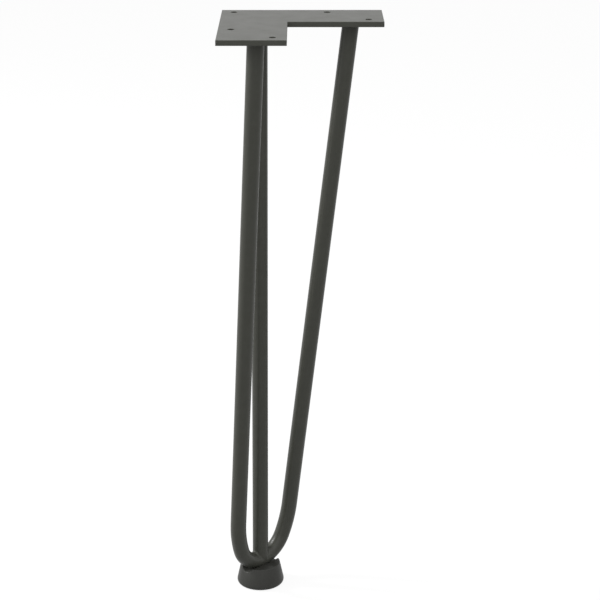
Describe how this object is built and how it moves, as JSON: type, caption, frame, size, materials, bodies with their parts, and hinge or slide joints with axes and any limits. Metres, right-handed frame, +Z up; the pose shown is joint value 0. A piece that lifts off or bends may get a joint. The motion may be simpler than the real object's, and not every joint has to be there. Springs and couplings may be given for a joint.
{
  "type": "hairpin table leg",
  "caption": "Three-rod hairpin table leg with an L-shaped screw plate, a bent rod, a straight centre rod and a foot cap.",
  "frame": {"origin": "on the plate's top face, straight above the middle of the foot", "axes": "+Z up, out of the plate's top face; the front arm runs along -Y and the side arm along +X"},
  "size_m": [0.12, 0.12, 0.464],
  "materials": {
    "powder_coat": "fine satin powder coat, charcoal black",
    "cap_plastic": "moulded, matt black"
  },
  "bodies": {
    "root": {"mounting_plate": "powder_coat", "hairpin_rod": "powder_coat", "centre_rod": "powder_coat", "weld_front_rod": "powder_coat", "weld_side_rod": "powder_coat", "weld_centre_rod": "powder_coat", "weld_bend": "powder_coat", "foot_cap": "cap_plastic"}
  },
  "joints": []
}
